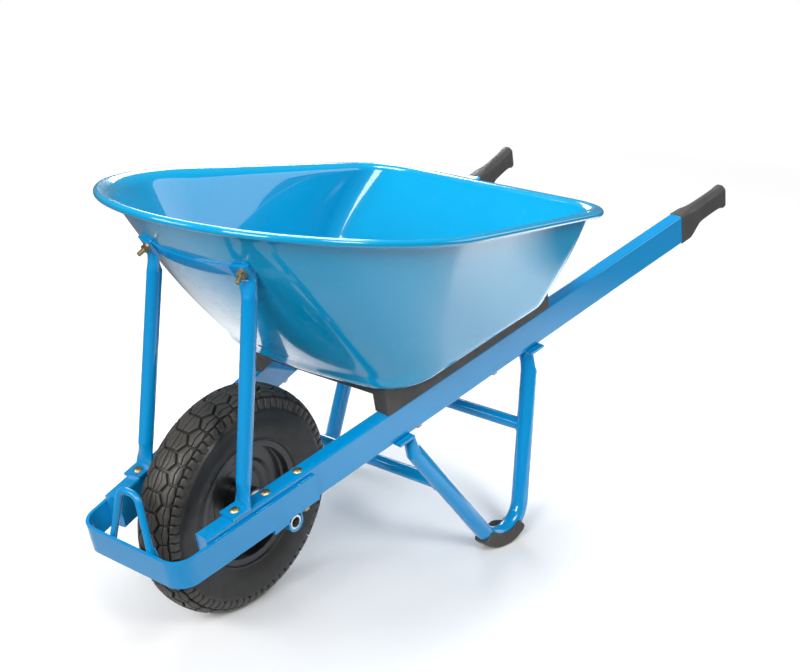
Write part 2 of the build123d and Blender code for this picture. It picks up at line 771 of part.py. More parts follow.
with BuildLine(LEG_PLANE) as leg_path:
    FilletPolyline(
        (-leg_side(LEG_CRIMP), -LEG_CRIMP),
        (0, -LEG_APEX_DEPTH),
        (leg_side(LEG_CRIMP), -LEG_CRIMP),
        radius=LEG_BEND,
    )
leg_wire = leg_path.wire()
LEG_ENDS = (
    Plane(origin=leg_wire @ 0, x_dir=LEG_PLANE.z_dir, z_dir=leg_wire % 0),
    Plane(origin=leg_wire @ 1, x_dir=LEG_PLANE.z_dir, z_dir=leg_wire % 1),
)
# The ends are flattened against the inner wall of the V and turned outwards
# to lie under the rail.
LEG_ANGLE = atan(LEG_HALF / LEG_APEX_DEPTH)
FLAT_SHIFT = LEG_RADIUS / cos(LEG_ANGLE) - TAB_THICKNESS / 2
with BuildPart() as leg_solid:
    with BuildSketch(LEG_ENDS[0]):
        Circle(LEG_RADIUS)
    sweep(path=leg_wire)
    for station, end, shift in (
        (LEG_FRONT, LEG_ENDS[0], FLAT_SHIFT),
        (LEG_REAR, LEG_ENDS[1], -FLAT_SHIFT),
    ):
        with BuildSketch(end):
            Circle(LEG_RADIUS)
        with BuildSketch(rail_deck(station, -TAB_THICKNESS, LEG_OUTSET)):
            with Locations((shift, 0)):
                Rectangle(TAB_THICKNESS, LEG_TAB_WIDTH)
        loft()

TAB_EDGE = FLAT_SHIFT + TAB_THICKNESS / 2
with BuildPart() as leg:
    add(leg_solid.part)
    with BuildSketch(LEG_ENDS[0]):
        Circle(LEG_RADIUS - LEG_WALL)
    sweep(path=leg_wire, mode=Mode.SUBTRACT)
    for station, edge, reach in (
        (LEG_FRONT, TAB_EDGE, Align.MAX),
        (LEG_REAR, -TAB_EDGE, Align.MIN),
    ):
        with BuildSketch(rail_deck(station, -TAB_THICKNESS, LEG_OUTSET)):
            with Locations((edge, 0)):
                Rectangle(LEG_TAB_REACH, LEG_TAB_WIDTH, align=(reach, Align.CENTER))
        extrude(amount=TAB_THICKNESS)
save_pair(leg, "leg")

BEND_RISE = LEG_BEND / sin(LEG_ANGLE)
BEND_CENTRE = LEG_PLANE.from_local_coords((0, BEND_RISE - LEG_APEX_DEPTH))
SHOE_DOWN = Vector(0, 0, -1) + LEG_PLANE.z_dir * LEG_PLANE.z_dir.Z
SHOE_START = SHOE_DOWN.rotate(Axis((0, 0, 0), LEG_PLANE.z_dir), -SHOE_ARC / 2)
SHOE_HALF = LEG_RADIUS + SHOE_WALL
SHOE_SECTION = Plane(
    origin=BEND_CENTRE, x_dir=SHOE_START, z_dir=LEG_PLANE.z_dir.cross(SHOE_START)
)
with BuildPart() as shoe:
    with BuildSketch(SHOE_SECTION):
        with Locations((LEG_BEND - SHOE_LIP, 0)):
            Rectangle(
                SHOE_LIP + LEG_RADIUS + SHOE_SOLE, 2 * SHOE_HALF, align=(Align.MIN, Align.CENTER)
            )
        with Locations((LEG_BEND, 0)):
            Circle(LEG_RADIUS, mode=Mode.SUBTRACT)
            Rectangle(
                2 * LEG_RADIUS,
                2 * LEG_RADIUS,
                align=(Align.MAX, Align.CENTER),
                mode=Mode.SUBTRACT,
            )
    revolve(axis=Axis(BEND_CENTRE, LEG_PLANE.z_dir), revolution_arc=SHOE_ARC)
    split(bisect_by=Plane.XY, keep=Keep.TOP)
save_pair(shoe, "foot_shoe")


def cross_brace(along, depth):
    """Tube between the left and right legs, shaped to them at its ends."""
    joint = LEG_PLANE.from_local_coords((along, -depth))
    with BuildPart() as brace:
        with BuildSketch(Plane.XZ.offset(-joint.Y)):
            with Locations((joint.X, joint.Z)):
                Circle(BRACE_RADIUS)
                Circle(BRACE_RADIUS - BRACE_WALL, mode=Mode.SUBTRACT)
        extrude(amount=2 * joint.Y)
        add(leg_solid.part, mode=Mode.SUBTRACT)
        add(mirror(leg_solid.part, about=Plane.XZ), mode=Mode.SUBTRACT)
    return brace


save(cross_brace(leg_side(REAR_BRACE_DEPTH), REAR_BRACE_DEPTH), "brace_rear")
save(cross_brace(-leg_side(FRONT_BRACE_DEPTH), FRONT_BRACE_DEPTH), "brace_front")

# ---- Packers under the tray ---------------------------------------------
RAIL_SIDE = Plane(origin=rail_point(0), x_dir=BACK, z_dir=OUT)
packer_front = rail_run(0, PACKER_FRONT)
packer_rear = rail_run(0, PACKER_REAR)
with BuildPart() as packer:
    with BuildSketch(RAIL_SIDE.offset(-PACKER_WIDTH / 2)):
        with BuildLine():
            Polyline(
                (packer_front, RAIL_HEIGHT),
                (packer_front, RAIL_HEIGHT + PACKER_NOSE),
                (packer_front + PACKER_NOSE_LENGTH, RAIL_HEIGHT + PACKER_NOSE),
                (packer_front + 2 * PACKER_NOSE_LENGTH, RAIL_HEIGHT + PACKER_TOP),
                (packer_rear, RAIL_HEIGHT + PACKER_TOP),
                (packer_rear, RAIL_HEIGHT),
                close=True,
            )
        make_face()
    extrude(amount=PACKER_WIDTH)
    add(tray_outer, mode=Mode.SUBTRACT)
    drill(TRAY_BOLT_PLANES, 4 * PACKER_NOSE)
save_pair(packer, "tray_packer")

BRIDGE_FRONT = PACKER_FRONT - BRIDGE_SETBACK
bridge_reach = RAIL_Y - BRIDGE_FRONT * tan(radians(RAIL_SPLAY))
with BuildPart() as packer_bridge:
    with BuildSketch(DECK.offset(RAIL_HEIGHT + PACKER_NOSE - BRIDGE_DROP)):
        with Locations((BRIDGE_FRONT, 0)):
            Rectangle(BRIDGE_LENGTH, 2 * bridge_reach, align=(Align.MAX, Align.CENTER))
    extrude(amount=BRIDGE_THICKNESS)
    add(tray_outer, mode=Mode.SUBTRACT)
    add(packer.part, mode=Mode.SUBTRACT)
    add(mirror(packer.part, about=Plane.XZ), mode=Mode.SUBTRACT)
save(packer_bridge, "packer_bridge")

# Tray bolts pass down through the floor, packer and rail.
FLOOR_TOP = FLOOR_HEIGHT + SHEET
tray_bolt = carriage_bolt(bolt_length(FLOOR_TOP))
with BuildPart() as tray_bolts:
    with Locations(*[rail_deck(station, FLOOR_TOP) for station in TRAY_BOLT_STATIONS]):
        add(tray_bolt)
    mirror(about=Plane.XZ)
save(tray_bolts, "tray_bolts")
save(
    fastener_pair(washer(), [rail_deck(station) for station in TRAY_BOLT_STATIONS]),
    "tray_washers",
)
save(
    fastener_pair(
        hex_nut(), [rail_deck(station, -WASHER_THICKNESS) for station in TRAY_BOLT_STATIONS]
    ),
    "tray_nuts",
)

# ---- Grips --------------------------------------------------------------
collar_width, collar_height, collar_corner = GRIP_COLLAR
hand_width, hand_height, hand_corner = GRIP_HAND
hand_rise = RAIL_HEIGHT + (collar_height - RAIL_HEIGHT) / 2 - hand_height / 2
GRIP_START = rail_section(RAIL_REAR)
with BuildPart() as grip:
    with BuildSketch(GRIP_START.offset(-GRIP_PLUG_LENGTH)):
        with Locations((0, RAIL_HEIGHT / 2)):
            RectangleRounded(
                RAIL_WIDTH - 2 * RAIL_WALL, RAIL_HEIGHT - 2 * RAIL_WALL, RAIL_CORNER - RAIL_WALL
            )
    extrude(amount=GRIP_PLUG_LENGTH)
    with BuildSketch(GRIP_START):
        with Locations((0, RAIL_HEIGHT / 2)):
            RectangleRounded(collar_width, collar_height, collar_corner)
    extrude(amount=GRIP_COLLAR_LENGTH)
    with BuildSketch(GRIP_START.offset(GRIP_COLLAR_LENGTH)):
        with Locations((0, RAIL_HEIGHT / 2)):
            RectangleRounded(collar_width, collar_height, collar_corner)
    with BuildSketch(GRIP_START.offset(GRIP_COLLAR_LENGTH + GRIP_TAPER_LENGTH)):
        with Locations((0, hand_rise)):
            RectangleRounded(hand_width, hand_height, hand_corner)
    loft()
    with BuildSketch(GRIP_START.offset(GRIP_COLLAR_LENGTH + GRIP_TAPER_LENGTH)):
        with Locations((0, hand_rise)):
            RectangleRounded(hand_width, hand_height, hand_corner)
    extrude(amount=GRIP_HAND_LENGTH)
    grip_end = grip.faces().sort_by(Axis(GRIP_START.origin, BACK))[-1]
    fillet(grip_end.edges(), GRIP_END_ROUND)
save_pair(grip, "grip")
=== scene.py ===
import math

import bpy
from mathutils import Matrix, Vector, noise
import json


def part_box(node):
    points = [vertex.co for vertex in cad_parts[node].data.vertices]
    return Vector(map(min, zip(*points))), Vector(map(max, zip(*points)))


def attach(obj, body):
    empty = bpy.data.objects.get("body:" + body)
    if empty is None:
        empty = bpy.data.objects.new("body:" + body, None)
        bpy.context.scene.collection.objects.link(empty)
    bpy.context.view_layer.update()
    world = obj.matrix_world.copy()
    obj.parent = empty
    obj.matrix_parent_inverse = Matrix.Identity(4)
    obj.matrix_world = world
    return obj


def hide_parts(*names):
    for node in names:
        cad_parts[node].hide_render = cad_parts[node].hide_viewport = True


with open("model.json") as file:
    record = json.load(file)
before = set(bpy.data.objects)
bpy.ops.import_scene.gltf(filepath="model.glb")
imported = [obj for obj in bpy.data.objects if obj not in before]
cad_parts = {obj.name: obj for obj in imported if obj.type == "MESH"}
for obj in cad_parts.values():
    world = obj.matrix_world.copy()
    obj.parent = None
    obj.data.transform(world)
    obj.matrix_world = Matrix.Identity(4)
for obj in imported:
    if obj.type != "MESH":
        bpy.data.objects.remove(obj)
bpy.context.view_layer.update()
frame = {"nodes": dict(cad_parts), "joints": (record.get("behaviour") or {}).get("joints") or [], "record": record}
NODES = frame["nodes"]
JOINT = frame["joints"][0]
AXLE = Vector(JOINT["pos_m"])

# ---- Camera --------------------------------------------------------------
CAMERA_AT = AXLE + Vector((1.4540, 1.4895, 1.0691))
CAMERA_FORWARD = Vector((-0.7365, -0.5781, -0.3509)).normalized()
CAMERA_RIGHT = Vector((-0.6212, 0.7835, 0.0130))
LENS = 61.33


def make_camera():
    """The photograph's viewpoint, ahead of the barrow and to its left."""
    data = bpy.data.cameras.new("camera")
    data.lens = LENS
    data.clip_start = 0.05
    camera = bpy.data.objects.new("camera", data)
    bpy.context.scene.collection.objects.link(camera)
    back = -CAMERA_FORWARD
    up = back.cross(CAMERA_RIGHT).normalized()
    right = up.cross(back)
    turn = Matrix((right, up, back)).transposed().to_4x4()
    camera.matrix_world = Matrix.Translation(CAMERA_AT) @ turn
    bpy.context.scene.camera = camera


make_camera()


# ---- Mesh helpers --------------------------------------------------------
def piece(name, verts, faces, material, body):
    """A smooth mesh object that rides on a body."""
    mesh = bpy.data.meshes.new(name)
    mesh.from_pydata([tuple(v) for v in verts], [], faces)
    mesh.materials.append(material)
    for polygon in mesh.polygons:
        polygon.use_smooth = True
    mesh.validate()
    mesh.update()
    obj = bpy.data.objects.new(name, mesh)
    bpy.context.scene.collection.objects.link(obj)
    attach(obj, body)
    return obj


def grid_faces(rows, columns, close_rows=False, close_columns=False, start=0):
    """Quads joining rows of points, each row columns long, from vertex number start."""
    faces = []
    for i in range(rows if close_rows else rows - 1):
        for j in range(columns if close_columns else columns - 1):
            a = start + i * columns + j
            b = start + i * columns + (j + 1) % columns
            c = start + ((i + 1) % rows) * columns + (j + 1) % columns
            d = start + ((i + 1) % rows) * columns + j
            faces.append((a, b, c, d))
    return faces


def end_caps(rows, columns):
    """One face over the first row of points and one over the last."""
    first = tuple(reversed(range(columns)))
    return [first, tuple(range((rows - 1) * columns, rows * columns))]


def bevel(obj, width, angle=30.0):
    """Softens the edges where faces turn by more than an angle."""
    modifier = obj.modifiers.new("bevel", "BEVEL")
    modifier.width = width
    modifier.segments = 2
    modifier.limit_method = "ANGLE"
    modifier.angle_limit = math.radians(angle)
    modifier.harden_normals = False


# ---- Materials -----------------------------------------------------------
class Shader:
    """A small builder for one Principled material."""

    def __init__(self, name, colour, roughness, metallic=0.0, **sockets):
        self.material = bpy.data.materials.new(name)
        self.material.use_nodes = True
        self.tree = self.material.node_tree
        self.nodes = self.tree.nodes
        self.links = self.tree.links
        self.bsdf = self.nodes["Principled BSDF"]
        self.bsdf.inputs["Base Color"].default_value = (*colour, 1)
        self.bsdf.inputs["Roughness"].default_value = roughness
        self.bsdf.inputs["Metallic"].default_value = metallic
        for key, value in sockets.items():
            self.bsdf.inputs[key.replace("_", " ")].default_value = value
        self.coords = self.nodes.new("ShaderNodeTexCoord").outputs["Object"]
        self.relief = None

    def noise(self, scale, detail=4.0, roughness=0.55, stretch=None):
        """Cloudy pattern on the object's own coordinates, stretched if need be."""
        node = self.nodes.new("ShaderNodeTexNoise")
        node.inputs["Scale"].default_value = scale
        node.inputs["Detail"].default_value = detail
        node.inputs["Roughness"].default_value = roughness
        source = self.coords
        if stretch:
            mapping = self.nodes.new("ShaderNodeMapping")
            mapping.inputs["Scale"].default_value = stretch
            self.links.new(self.coords, mapping.inputs["Vector"])
            source = mapping.outputs["Vector"]
        self.links.new(source, node.inputs["Vector"])
        return node.outputs["Fac"]

    def voronoi(self, scale):
        """Pattern of small cells, for moulded grain."""
        node = self.nodes.new("ShaderNodeTexVoronoi")
        node.inputs["Scale"].default_value = scale
        self.links.new(self.coords, node.inputs["Vector"])
        return node.outputs["Distance"]

    def ramp(self, value, low, high, start=0.0, end=1.0):
        """Value rescaled from low..high to start..end and clamped."""
        node = self.nodes.new("ShaderNodeMapRange")
        self.links.new(value, node.inputs["Value"])
        node.inputs["From Min"].default_value = low
        node.inputs["From Max"].default_value = high
        node.inputs["To Min"].default_value = start
        node.inputs["To Max"].default_value = end
        return node.outputs["Result"]

    def multiply(self, a, b):
        """Product of two masks."""
        node = self.nodes.new("ShaderNodeMath")
        node.operation = "MULTIPLY"
        self.links.new(a, node.inputs[0])
        self.links.new(b, node.inputs[1])
        return node.outputs["Value"]

    def blend_colour(self, mask, other):
        """Mixes another colour over the base by a mask."""
        node = self.nodes.new("ShaderNodeMix")
        node.data_type = "RGBA"
        base = self.bsdf.inputs["Base Color"]
        if base.is_linked:
            self.links.new(base.links[0].from_socket, node.inputs["A"])
        else:
            node.inputs["A"].default_value = base.default_value
        node.inputs["B"].default_value = (*other, 1)
        self.links.new(mask, node.inputs["Factor"])
        self.links.new(node.outputs["Result"], base)

    def vary_roughness(self, value, low, high):
        """Patches of smoother and rougher surface."""
        self.links.new(self.ramp(value, 0.3, 0.7, low, high), self.bsdf.inputs["Roughness"])

    def bump(self, value, distance, strength=1.0):
        """Adds fine relief over any relief there already is."""
        node = self.nodes.new("ShaderNodeBump")
        node.inputs["Distance"].default_value = distance
        node.inputs["Strength"].default_value = strength
        self.links.new(value, node.inputs["Height"])
        if self.relief:
            self.links.new(self.relief, node.inputs["Normal"])
        self.relief = node.outputs["Normal"]
        self.links.new(self.relief, self.bsdf.inputs["Normal"])


def up_facing(shader, low, high):
    """Mask of the surfaces that face up, where dust settles."""
    geometry = shader.nodes.new("ShaderNodeNewGeometry")
    split = shader.nodes.new("ShaderNodeSeparateXYZ")
    shader.links.new(geometry.outputs["Normal"], split.inputs["Vector"])
    return shader.ramp(split.outputs["Z"], low, high)


def enamel(name, colour, deep, peel=0.00005):
    """Glossy sprayed enamel with faint orange peel, depth and handling marks."""
    paint = Shader(name, colour, 0.25, Coat_Weight=1.0, Coat_Roughness=0.03,
                   Specular_IOR_Level=0.12)
    paint.blend_colour(paint.ramp(paint.noise(4.0, 3.0), 0.35, 0.7, 0.0, 0.45), deep)
    fine = paint.ramp(paint.noise(900.0, 2.0), 0.62, 0.75, 0.0, 0.12)
    paint.blend_colour(fine, tuple(0.6 * c for c in deep))
    paint.vary_roughness(paint.noise(18.0, 6.0), 0.16, 0.28)
    paint.bump(paint.noise(240.0, 2.0), peel, 0.3)
    scuff = paint.noise(30.0, 8.0, 0.7, stretch=(0.3, 3.0, 1.0))
    dust = paint.multiply(paint.ramp(scuff, 0.62, 0.74, 0.0, 0.10), up_facing(paint, 0.2, 0.9))
    paint.blend_colour(dust, (0.40, 0.50, 0.56))
    return paint.material


def plated(name, colour, stain, roughness=0.28):
    """Zinc plate: bright, slightly cloudy, with a rainbow of passivation stains."""
    steel = Shader(name, colour, roughness, 1.0)
    steel.blend_colour(steel.ramp(steel.noise(120.0, 5.0), 0.42, 0.66), stain)
    steel.blend_colour(steel.ramp(steel.noise(420.0, 4.0), 0.6, 0.72, 0.0, 0.5), (0.3, 0.18, 0.08))
    steel.vary_roughness(steel.noise(260.0, 4.0), roughness - 0.08, roughness + 0.16)
    steel.bump(steel.noise(1500.0, 3.0), 0.00004, 0.5)
    return steel.material


def moulded(name, colour, roughness, grain, dusty):
    """Moulded rubber or plastic with a fine grain and patches and specks of dust."""
    body = Shader(name, colour, roughness, Specular_IOR_Level=0.4)
    body.blend_colour(body.ramp(body.noise(14.0, 6.0), 0.35, 0.75, 0.0, 0.6), dusty)
    speck = body.ramp(body.noise(700.0, 3.0), 0.6, 0.74, 0.0, 0.3)
    body.blend_colour(speck, tuple(min(1.0, 1.8 * c + 0.02) for c in dusty))
    body.vary_roughness(body.noise(60.0, 5.0), roughness - 0.1, roughness + 0.12)
    body.bump(body.voronoi(grain), 0.00012, 0.35)
    body.bump(body.noise(grain * 0.12, 5.0), 0.0004, 0.3)
    return body.material


def ground_steel(name):
    """Bright ground steel with fine grinding lines."""
    steel = Shader(name, (0.60, 0.61, 0.63), 0.22, 1.0)
    steel.blend_colour(steel.ramp(steel.noise(90.0, 5.0), 0.4, 0.7, 0.0, 0.6), (0.36, 0.36, 0.37))
    steel.vary_roughness(steel.noise(300.0, 4.0), 0.16, 0.34)
    steel.bump(steel.noise(1200.0, 2.0, stretch=(0.05, 1.0, 0.05)), 0.00003, 0.4)
    return steel.material


def gloss_black(name):
    """Black stove enamel on the pressed wheel, with a little dust and spray texture."""
    paint = Shader(name, (0.007, 0.007, 0.007), 0.3, Coat_Weight=0.3, Coat_Roughness=0.12)
    paint.blend_colour(paint.ramp(paint.noise(24.0, 6.0), 0.45, 0.8, 0.0, 0.3), (0.016, 0.014, 0.012))
    paint.vary_roughness(paint.noise(40.0, 5.0), 0.26, 0.4)
    paint.bump(paint.noise(420.0, 2.0), 0.00005, 0.4)
    return paint.material


BLUE = enamel("blue_enamel", (0.0, 0.255, 0.56), (0.0, 0.205, 0.49))
TRAY_BLUE = enamel("tray_enamel", (0.0, 0.295, 0.54), (0.0, 0.255, 0.49), peel=0.00006)
ZINC = plated("bright_zinc", (0.78, 0.79, 0.80), (0.60, 0.62, 0.64))
YELLOW_ZINC = plated("yellow_zinc", (0.52, 0.40, 0.20), (0.40, 0.25, 0.12), 0.38)
STEEL = ground_steel("ground_steel")
# carcass rubber is darker and glossier than the tread's: partly the side walls' own black gloss, partly painted
# shade on the groove floors between the lugs
SHADED_CARCASS_RUBBER = moulded("carcass_rubber_groove_shade", (0.016, 0.015, 0.014), 0.42, 900.0, (0.032, 0.030, 0.027))
TREAD = moulded("tread_rubber", (0.040, 0.037, 0.032), 0.44, 900.0, (0.070, 0.064, 0.055))
TUBE = moulded("tube_rubber", (0.016, 0.016, 0.016), 0.5, 1500.0, (0.03, 0.03, 0.03))
BLACK = gloss_black("black_enamel")
GRIP = moulded("grip_rubber", (0.040, 0.040, 0.038), 0.55, 1400.0, (0.062, 0.062, 0.060))
MOULDING = moulded("dark_moulding", (0.040, 0.036, 0.032), 0.52, 1100.0, (0.085, 0.075, 0.065))
SLOT_MATERIALS = {
    "paint": BLUE,
    "tray_paint": TRAY_BLUE,
    "zinc": ZINC,
    "yellow_zinc": YELLOW_ZINC,
    "bearing_steel": STEEL,
    "tyre": SHADED_CARCASS_RUBBER,
    "tube_rubber": TUBE,
    "black_paint": BLACK,
    "grip": GRIP,
    "moulding": MOULDING,
}
NODE_SLOT = {s["node"]: s["material_slot"] for s in frame["record"]["subparts"]}
for node, obj in NODES.items():
    obj.data.materials.clear()
    obj.data.materials.append(SLOT_MATERIALS[NODE_SLOT[node]])

# ---- Tyre ----------------------------------------------------------------
TYRE_RADIUS = 0.2
TYRE_HALF = 0.047
SECTION_RADIUS = 0.150
SECTION_DEPTH = TYRE_RADIUS - SECTION_RADIUS
SECTION_POWER = 2.35
TREAD_DEPTH = 0.0062
TREAD_EDGE = 0.064
TREAD_FADE = 0.012
PITCHES = 36
ROUND_STEPS = 216
# half width and radius down the side wall to the bead
SIDE_WALL = (
    (0.0462, 0.1420), (0.0447, 0.1340), (0.0421, 0.1265), (0.0392, 0.1202), (0.0376, 0.1166),
    (0.0372, 0.1150), (0.0378, 0.1135), (0.0372, 0.1118), (0.0345, 0.1098), (0.0318, 0.1085),
    (0.0300, 0.1050), (0.0296, 0.1025),
)
SIDE_WALL_TOP = 0.1475
CROWN_STEP = 0.0005
CROWN_COUNT = 160
CROWN_SPLITS = 240


def crown(s):
    """Half width and radius of the tread's outer surface, s metres across from its middle."""
    y, radius = 0.0, TYRE_RADIUS
    travelled = 0.0
    for k in range(1, CROWN_SPLITS):
        angle = math.pi / 2 * k / CROWN_SPLITS
        next_y = TYRE_HALF * math.sin(angle) ** (2 / SECTION_POWER)
        next_radius = SECTION_RADIUS + SECTION_DEPTH * math.cos(angle) ** (2 / SECTION_POWER)
        step = math.hypot(next_y - y, next_radius - radius)
        if travelled + step >= s:
            share = (s - travelled) / step
            return y + share * (next_y - y), radius + share * (next_radius - radius)
        travelled += step
        y, radius = next_y, next_radius
    return y, radius


CROWN_TABLE = [crown(k * CROWN_STEP) for k in range(CROWN_COUNT)]


def crown_point(s):
    """The crown's point and its outward normal at s, as (y, r, ny, nr)."""
    sign = 1 if s >= 0 else -1
    at = min(abs(s) / CROWN_STEP, len(CROWN_TABLE) - 2.001)
    k = int(at)
    share = at - k
    a, b = CROWN_TABLE[k], CROWN_TABLE[k + 1]
    y = a[0] + share * (b[0] - a[0])
    r = a[1] + share * (b[1] - a[1])
    dy, dr = b[0] - a[0], b[1] - a[1]
    length = math.hypot(dy, dr)
    return sign * y, r, sign * -dr / length, dy / length


def tyre_point(u, s, height):
    """Point on the tyre: u metres round it, s across it, height above the outer surface."""
    y, r, ny, nr = crown_point(s)
    angle = u / TYRE_RADIUS
    y += ny * height
    r += nr * height
    return AXLE + Vector((r * math.cos(angle), y, r * math.sin(angle)))


def make_carcass():
    """The tyre below its tread: the groove floor, the shoulders and the side walls."""
    steps, spacing = 56, 0.00125
    crown_line = []
    for k in range(-steps, steps + 1):
        s = k * spacing
        depth = TREAD_DEPTH * min(1.0, max(0.0, (TREAD_EDGE - abs(s)) / TREAD_FADE))
        y, r, ny, nr = crown_point(s)
        if r - nr * depth > SIDE_WALL_TOP:
            crown_line.append((y - ny * depth, r - nr * depth))
    outline = [(-y, r) for y, r in reversed(SIDE_WALL)] + crown_line + list(SIDE_WALL)
    columns = len(outline)
    verts = []
    for i in range(ROUND_STEPS):
        angle = 2 * math.pi * i / ROUND_STEPS
        for y, r in outline:
            verts.append(AXLE + Vector((r * math.cos(angle), y, r * math.sin(angle))))
    faces = grid_faces(ROUND_STEPS, columns, close_rows=True)
    # the darker carcass rubber paints shade on the groove floors between the tread lugs
    carcass = piece("tyre_carcass", verts, faces, SHADED_CARCASS_RUBBER, "wheel")
    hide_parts("tyre")


make_carcass()

# ---- Tread ---------------------------------------------------------------
BLOCK_SINK = 0.0006
PITCH = 2 * math.pi * TYRE_RADIUS / PITCHES
LUG_LENGTH = PITCH * 0.875
LUG_SAMPLES = 15
LUG_STRIPS = 2
SIPE_WAVES = 4
SIPE_SHIFT = 0.1
# a lug's inner edge and how far it has moved by the lug's ends, then the same for its outer edge
CENTRE_LUG = (0.0011, 0.0, 0.0214, -0.0084)
OUTER_LUG = (0.0176, 0.0078, 0.0398, -0.0030)
FINGER_STEPS = 10
FINGER_START = 0.0418
FINGER_REACHES = (0.0205, 0.0250)
FINGER_TAPER = 0.22
FINGER_SWAY = 0.0012
FINGER_FLAT = 3
FINGER_DROP = 0.0040


def block(verts, faces, first, second, drop=None, round_off=0.0009, foot=0.0007):
    """One tread block between two lines of (round, across) points on the tread.

    drop lowers the block's top point by point, so shoulders can fade into the side."""
    loop = list(first) + list(reversed(second))
    drops = [0.0] * len(loop) if drop is None else list(drop) + list(reversed(drop))
    count = len(loop)
    area = sum(loop[k - 1][0] * loop[k][1] - loop[k][0] * loop[k - 1][1] for k in range(count))
    turn = 1.0 if area > 0 else -1.0
    inward = []
    for k in range(count):
        before = Vector(loop[k]) - Vector(loop[k - 1])
        after = Vector(loop[(k + 1) % count]) - Vector(loop[k])
        sides = [Vector((-v.y, v.x)).normalized() * turn for v in (before, after)]
        inward.append((sides[0] + sides[1]) / max(0.5, 1 + sides[0].dot(sides[1])))
    start = len(verts)
    rings = (
        (-foot, -TREAD_DEPTH - BLOCK_SINK),
        (0.0, -round_off),
        (round_off * 0.45, -round_off * 0.3),
        (round_off * 1.1, 0.0),
    )
    for inset, height in rings:
        for k in range(count):
            level = height - drops[k] if height > -TREAD_DEPTH else height
            point = Vector(loop[k]) + inward[k] * inset
            verts.append(tyre_point(point.x, point.y, level))
    for level in range(len(rings) - 1):
        for k in range(count):
            a = start + level * count + k
            b = start + level * count + (k + 1) % count
            faces.append((a, b, b + count, a + count))
    top = start + (len(rings) - 1) * count
    for k in range(count // 2 - 1):
        faces.append((top + k, top + k + 1, top + count - 2 - k, top + count - 1 - k))


def zigzag(share, waves, reach):
    """Triangle wave along a sipe."""
    phase = share * waves % 1.0
    return reach * (4 * abs(phase - 0.5) - 1)


def siped_lug(verts, faces, middle, side, edges, wave, gap):
    """A lug cut round the tyre into strips by zigzag sipes."""
    inner, inner_change, outer, outer_change = edges
    lines = []
    for cut in range(LUG_STRIPS + 1):
        line = []
        for k in range(LUG_SAMPLES):
            share = k / (LUG_SAMPLES - 1)
            off = abs(2 * share - 1)
            low = inner + inner_change * off
            high = outer + outer_change * off
            across = low + (high - low) * cut / LUG_STRIPS
            if 0 < cut < LUG_STRIPS:
                across += zigzag(share + SIPE_SHIFT * cut, SIPE_WAVES, wave)
            line.append((middle + (share - 0.5) * LUG_LENGTH, across))
        lines.append(line)
    for cut in range(LUG_STRIPS):
        low_gap = gap if cut else 0.0
        high_gap = gap if cut < LUG_STRIPS - 1 else 0.0
        low_line = [(u, side * (s + low_gap)) for u, s in lines[cut]]
        high_line = [(u, side * (s - high_gap)) for u, s in lines[cut + 1]]
        block(verts, faces, low_line, high_line, round_off=0.0007, foot=gap * 0.8)


def shoulder_finger(verts, faces, middle, side, reach):
    """A lug that runs down the shoulder and fades into the side wall."""
    lines = []
    for edge in (-1, 1):
        line = []
        for k in range(FINGER_STEPS + 1):
            share = k / FINGER_STEPS
            half = PITCH * 0.2 * (1.0 - FINGER_TAPER * share**2)
            sway = FINGER_SWAY * math.sin(0.9 * k) * side
            line.append((middle + edge * half + sway, side * (FINGER_START + reach * share)))
        lines.append(line)
    steps = FINGER_STEPS - FINGER_FLAT
    fade = [FINGER_DROP * (max(0, k - FINGER_FLAT) / steps) ** 1.5 for k in range(FINGER_STEPS + 1)]
    block(verts, faces, lines[0], lines[1], fade)


def make_tread():
    """Rows of lugs on both sides of the tyre's middle, and two fingers per pitch."""
    verts, faces = [], []
    for i in range(PITCHES):
        u = i * PITCH
        for side in (1, -1):
            siped_lug(verts, faces, u, side, CENTRE_LUG, 0.0007, 0.0003)
            siped_lug(verts, faces, u + PITCH / 2, side, OUTER_LUG, 0.0, 0.00055)
            for half, reach in enumerate(FINGER_REACHES):
                middle = u + PITCH * (0.5 * half - 0.25) + PITCH * 0.04 * side
                shoulder_finger(verts, faces, middle, side, reach)
    tread = piece("tyre_tread", verts, faces, TREAD, "wheel")
    tread.data.set_sharp_from_angle(angle=math.radians(50))


make_tread()

# ---- Deck: the plane of the rail undersides, as in the CAD model ---------
SLOPE = math.radians(13.2)
SPLAY = math.radians(6.86)
RAIL_SIDE = 0.1245
RAIL_DROP = 0.0178
DECK_UP = Vector((math.sin(SLOPE), 0, math.cos(SLOPE)))
DECK_FORWARD = Vector((math.cos(SLOPE), 0, -math.sin(SLOPE)))
LEFT = Vector((0, 1, 0))
DECK_ORIGIN = AXLE + Vector((0, 0, RAIL_DROP))
BACK = LEFT * math.sin(SPLAY) - DECK_FORWARD * math.cos(SPLAY)
OUT = BACK.cross(DECK_UP)


def rail_point(station, up=0.0, out=0.0):
    """Point above the left rail's underside centreline."""
    side = RAIL_SIDE - station * math.tan(SPLAY)
    return DECK_ORIGIN + DECK_FORWARD * station + LEFT * side + DECK_UP * up + OUT * out


def both_sides(name, verts, faces, material, replaced=None):
    """A left-hand piece and its mirror image."""
    made = []
    for side, flip in (("left", 1), ("right", -1)):
        points = [Vector((v.x, flip * v.y, v.z)) for v in verts]
        loops = faces if flip == 1 else [tuple(reversed(f)) for f in faces]
        obj = piece(f"{name}_{side}", points, loops, material, "frame")
        if replaced:
            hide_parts(f"{replaced}_{side}")
        made.append(obj)
    return made


